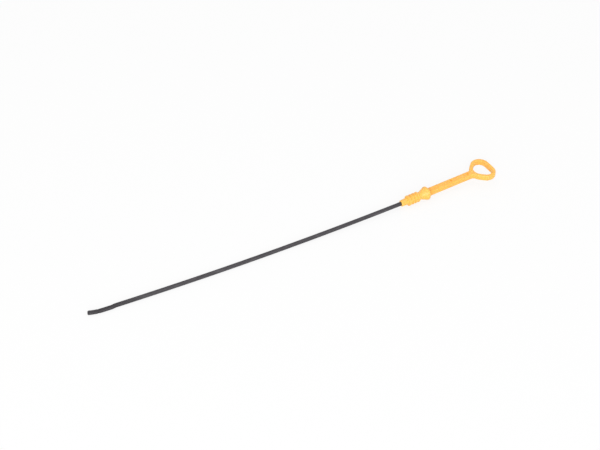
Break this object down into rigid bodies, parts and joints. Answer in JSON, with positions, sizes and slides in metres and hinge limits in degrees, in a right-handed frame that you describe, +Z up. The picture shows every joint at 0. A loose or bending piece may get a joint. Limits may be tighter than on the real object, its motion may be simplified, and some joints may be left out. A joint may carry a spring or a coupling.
{
  "type": "engine oil dipstick",
  "caption": "Engine oil dipstick: slim flexible plastic rod with a moulded pull handle, ribbed sealing plug, cone collar and flat finger ring.",
  "frame": {"origin": "bottom centre of the bounding box, on the surface that the dipstick lies on", "axes": "+X along the dipstick towards the finger ring, +Z up, ring faces nearly level"},
  "size_m": [0.4368, 0.0298, 0.0138],
  "materials": {
    "handle": "satin moulded",
    "rod": "satin drawn"
  },
  "bodies": {
    "root": {"handle": "handle", "rod": "rod"}
  },
  "joints": []
}
